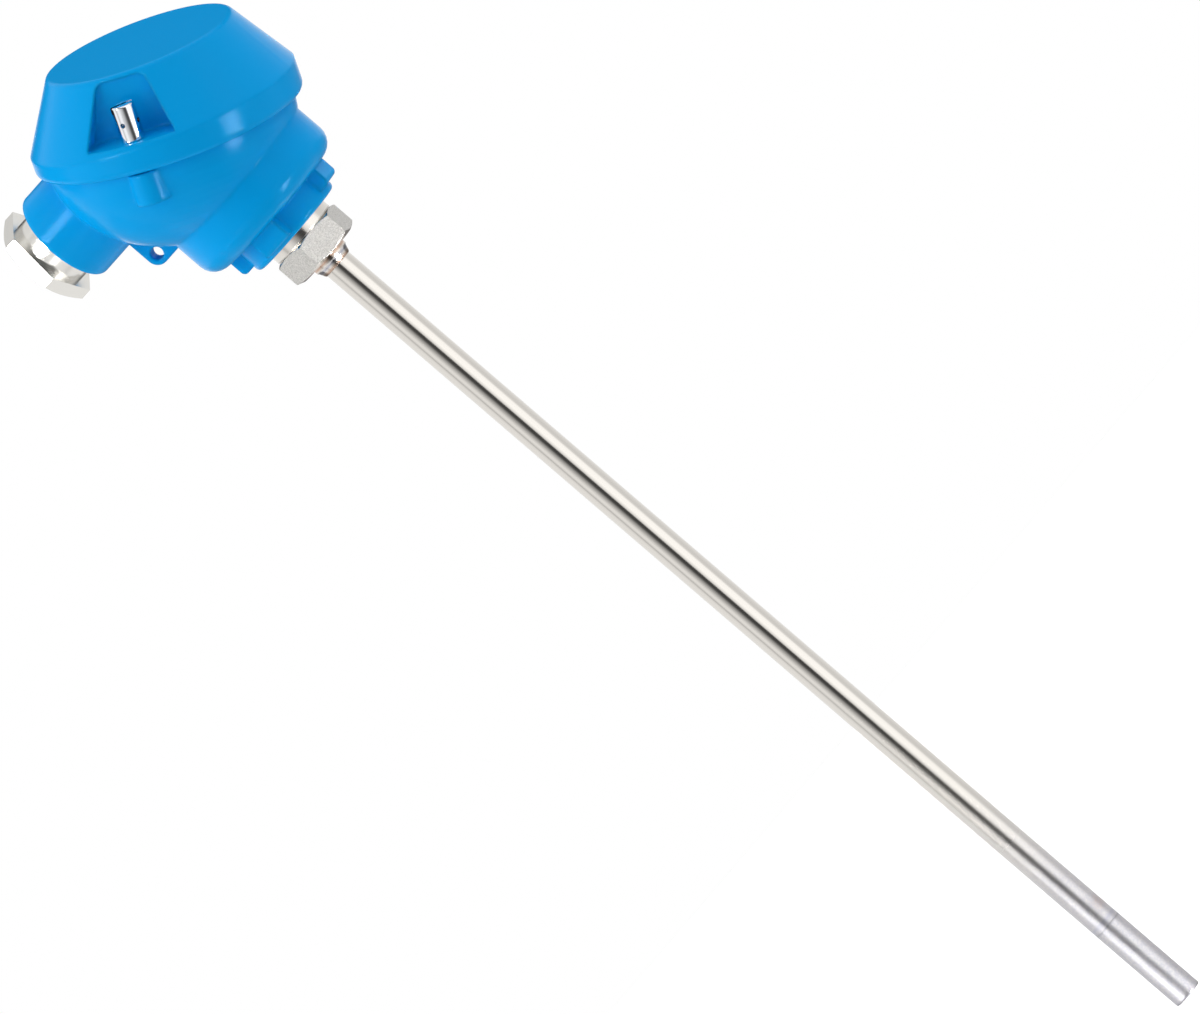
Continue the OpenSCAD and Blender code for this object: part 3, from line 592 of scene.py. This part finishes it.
def banded_level(tree, azimuth, height):
    """Brightness of the banded room and its softboxes, by direction in radians"""
    peak = max(level for _, level in ROOM)
    bands = graded(tree, azimuth, [(turn, level / peak) for turn, level in ROOM], unit=DEGREE)
    bright = add(tree, "ShaderNodeMath", {"operation": "MULTIPLY", 1: peak}, _0=bands)
    kept = graded(tree, height, HEIGHTS, unit=DEGREE)
    turned_away = add(tree, "ShaderNodeMath", {"operation": "ABSOLUTE"}, _0=azimuth)
    front = add(tree, "ShaderNodeMath", {"operation": "LESS_THAN", 1: BEHIND * DEGREE},
                _0=turned_away)
    share = add(tree, "ShaderNodeMath", {"operation": "MAXIMUM"}, _0=kept, _1=front)
    level = add(tree, "ShaderNodeMath", {"operation": "MULTIPLY"}, _0=bright, _1=share)
    for turn, up, half_width, half_height, brightness in SOFTBOXES:
        beside = add(tree, "ShaderNodeMath", {"operation": "COMPARE", 1: turn * DEGREE,
                                              2: half_width * DEGREE}, _0=azimuth)
        above = add(tree, "ShaderNodeMath", {"operation": "COMPARE", 1: up * DEGREE,
                                             2: half_height * DEGREE}, _0=height)
        inside = add(tree, "ShaderNodeMath", {"operation": "MULTIPLY"}, _0=beside, _1=above)
        level = add(tree, "ShaderNodeMath", {"operation": "MULTIPLY_ADD", 1: brightness},
                    _0=inside, _2=level)
    return level


def light_room(stage):
    """A white surround for the camera, an even one for matt surfaces and a banded one, with
    softboxes, for what reflects"""
    bpy.context.scene.view_settings.view_transform = "Standard"
    world = bpy.data.worlds.new("studio")
    bpy.context.scene.world = world
    world.use_nodes = True
    tree = world.node_tree
    tree.nodes.clear()
    toward = add(tree, "ShaderNodeTexCoord").outputs["Generated"]
    turned = add(tree, "ShaderNodeVectorRotate", {
        "rotation_type": "Z_AXIS", "Angle": math.pi / 2 - stage.azimuth}, Vector=toward)
    parts = add(tree, "ShaderNodeSeparateXYZ", Vector=turned).outputs
    azimuth = add(tree, "ShaderNodeMath", {"operation": "ARCTAN2"}, _0=parts["Y"], _1=parts["X"])
    height = add(tree, "ShaderNodeMath", {"operation": "ARCSINE"}, _0=parts["Z"])
    reflected = add(tree, "ShaderNodeBackground", {"Color": (1, 1, 1, 1)},
                    Strength=banded_level(tree, azimuth, height))
    softer = add(tree, "ShaderNodeMath", {
        "operation": "MULTIPLY_ADD", 1: OVERHEAD * stage.fill, 2: stage.fill}, _0=parts["Z"])
    even = add(tree, "ShaderNodeBackground", {"Color": (1, 1, 1, 1)}, Strength=softer)
    white = add(tree, "ShaderNodeBackground", {"Color": (1, 1, 1, 1), "Strength": 1.0})
    ray = add(tree, "ShaderNodeLightPath").outputs
    lit = add(tree, "ShaderNodeMixShader", _0=ray["Is Glossy Ray"], _1=even, _2=reflected)
    seen = add(tree, "ShaderNodeMixShader", _0=ray["Is Camera Ray"], _1=lit, _2=white)
    add(tree, "ShaderNodeOutputWorld", Surface=seen)


def lay_floor(stage):
    """A pale matt floor that the camera sees as white, with the probe's shadow on it"""
    bpy.ops.object.select_all(action="DESELECT")
    bpy.ops.mesh.primitive_circle_add(vertices=96, radius=FLOOR_RADIUS, fill_type="NGON",
                                      location=(0, 0, CAD_BOX[0][2] - stage.floor_gap))
    floor = bpy.context.object
    floor.name = "floor"
    floor.visible_glossy = False
    material, tree, main = start("painted_floor", Base_Color=linear(colours().floor),
                                 Roughness=0.9, Emission_Color=(1, 1, 1, 1))
    lift = add(tree, "ShaderNodeMath", {"operation": "MULTIPLY", 1: FLOOR_LIFT},
               _0=add(tree, "ShaderNodeLightPath").outputs["Is Camera Ray"])
    join(tree, lift, main.inputs["Emission Strength"])
    floor.data.materials.append(material)


class PROBE_OT_stage(bpy.types.Operator):
    """Set up the camera, the floor and the lights"""
    bl_idname = "probe.stage"
    bl_label = "Stage"

    def execute(self, context):
        stage = context.scene.probe_stage
        place_camera(stage)
        light_room(stage)
        lay_floor(stage)
        for name, azimuth, elevation, radiance in LAMPS:
            add_lamp(name, stage.azimuth + azimuth * DEGREE, elevation * DEGREE, radiance)
        return {"FINISHED"}


STEPS = [PROBE_OT_castings, PROBE_OT_steelwork, PROBE_OT_plating, PROBE_OT_insides,
         PROBE_OT_screw_thread, PROBE_OT_stage]


class PROBE_PT_steps(bpy.types.Panel):
    """Lists the steps and the settings"""
    bl_label = "Connection Head Probe"
    bl_idname = "PROBE_PT_steps"
    bl_space_type = "VIEW_3D"
    bl_region_type = "UI"
    bl_category = "Probe"

    def draw(self, context):
        for step in STEPS:
            self.layout.operator(step.bl_idname)
        scene = context.scene
        for settings in (scene.probe_colours, scene.probe_thread, scene.probe_stage):
            box = self.layout.box()
            # The first two properties are Blender's own
            for name in settings.bl_rna.properties.keys()[2:]:
                box.prop(settings, name)


CLASSES = [ProbeColours, ProbeThread, ProbeStage, *STEPS, PROBE_PT_steps]


def register():
    """Register the classes and give the scene their settings"""
    for item in CLASSES:
        bpy.utils.register_class(item)
    bpy.types.Scene.probe_colours = bpy.props.PointerProperty(type=ProbeColours)
    bpy.types.Scene.probe_thread = bpy.props.PointerProperty(type=ProbeThread)
    bpy.types.Scene.probe_stage = bpy.props.PointerProperty(type=ProbeStage)


def unregister():
    """Take the settings and the classes away again"""
    del bpy.types.Scene.probe_stage
    del bpy.types.Scene.probe_thread
    del bpy.types.Scene.probe_colours
    for item in reversed(CLASSES):
        bpy.utils.unregister_class(item)


def main():
    """Run every step in order"""
    register()
    bpy.ops.probe.castings()
    bpy.ops.probe.steelwork()
    bpy.ops.probe.plating()
    bpy.ops.probe.insides()
    bpy.ops.probe.screw_thread()
    bpy.ops.probe.stage()
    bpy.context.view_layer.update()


if __name__ == "__main__":
    main()
